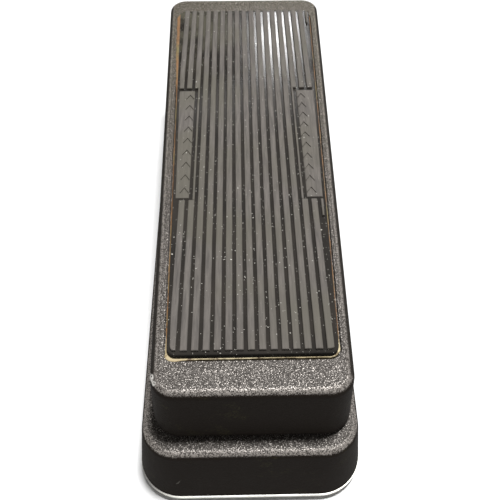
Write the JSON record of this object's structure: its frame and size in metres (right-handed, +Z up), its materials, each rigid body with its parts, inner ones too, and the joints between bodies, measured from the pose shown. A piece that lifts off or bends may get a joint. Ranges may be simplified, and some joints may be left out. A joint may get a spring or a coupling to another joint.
{
  "type": "volume pedal",
  "caption": "Foot volume pedal: a tapered die-cast base, a tilting rocker with a ribbed rubber tread, and a rack and pinion turning a potentiometer.",
  "frame": {"origin": "centre of the footprint, on the floor under the rubber feet", "axes": "+Y towards the toe end, +X towards the input side, +Z up"},
  "size_m": [0.1008, 0.26, 0.0855],
  "materials": {
    "textured_casting": "matte",
    "tread_rubber": "matte",
    "black_rubber": "matte",
    "old_glue": "matte",
    "plated_steel": "satin",
    "screw_steel": "satin",
    "nickel_plate": "satin",
    "pot_metal": "satin",
    "cast_zinc": "satin",
    "nylon": "satin",
    "phenolic": "satin",
    "contact_brass": "satin",
    "red_wire": "satin",
    "white_wire": "satin",
    "black_wire": "satin"
  },
  "bodies": {
    "base": {"base_housing": "textured_casting", "rubber_feet": "black_rubber", "heel_bumper": "black_rubber", "toe_bumper": "black_rubber", "bottom_plate": "plated_steel", "pot_bracket": "plated_steel", "pivot_bolt": "plated_steel", "pivot_nut": "plated_steel", "pivot_washers": "plated_steel", "deck_nuts": "plated_steel", "guide_spring": "plated_steel", "input_jack_frame": "plated_steel", "output_jack_frame": "plated_steel", "foot_screws": "screw_steel", "deck_screws": "screw_steel", "input_jack_nut": "nickel_plate", "input_jack_washer": "nickel_plate", "output_jack_nut": "nickel_plate", "output_jack_washer": "nickel_plate", "pot_nut": "nickel_plate", "pot_washer": "nickel_plate", "pot_case": "pot_metal", "pot_bushing": "cast_zinc", "rack_guide": "nylon", "input_jack_insulator": "phenolic", "output_jack_insulator": "phenolic", "pot_wafer": "phenolic", "pot_terminals": "contact_brass", "input_jack_tip_contact": "contact_brass", "output_jack_tip_contact": "contact_brass", "input_wire": "red_wire", "output_wire": "white_wire", "ground_wire": "black_wire"},
    "rocker": {"rocker": "textured_casting", "rubber_tread": "tread_rubber", "tread_adhesive": "old_glue", "pivot_bushes": "nylon", "rack_pin": "plated_steel", "rack_pin_clips": "plated_steel"},
    "rack": {"gear_rack": "nylon"},
    "pot_rotor": {"pinion_gear": "nylon", "pinion_set_screw": "plated_steel", "pot_shaft": "pot_metal", "pot_wiper": "contact_brass"}
  },
  "joints": [
    {"name": "rocker_pivot", "type": "hinge", "parent": "base", "child": "rocker", "pos_m": [0, 0, 0.05], "axis": [-1, 0, 0], "range_deg": [0, 13]},
    {"name": "rack_slide", "type": "slide", "parent": "base", "child": "rack", "axis": [0, 0, -1], "range_m": [0, 0.0132]},
    {"name": "pot_shaft_turn", "type": "hinge", "parent": "base", "child": "pot_rotor", "pos_m": [0, 0.067, 0.0197], "axis": [1, 0, 0], "range_deg": [0, 125.5]}
  ],
  "couplings": [
    {"joint": "rack_slide", "follows": "rocker_pivot", "m_per_rad": 0.057876},
    {"joint": "pot_shaft_turn", "follows": "rocker_pivot", "ratio": 9.6459}
  ]
}
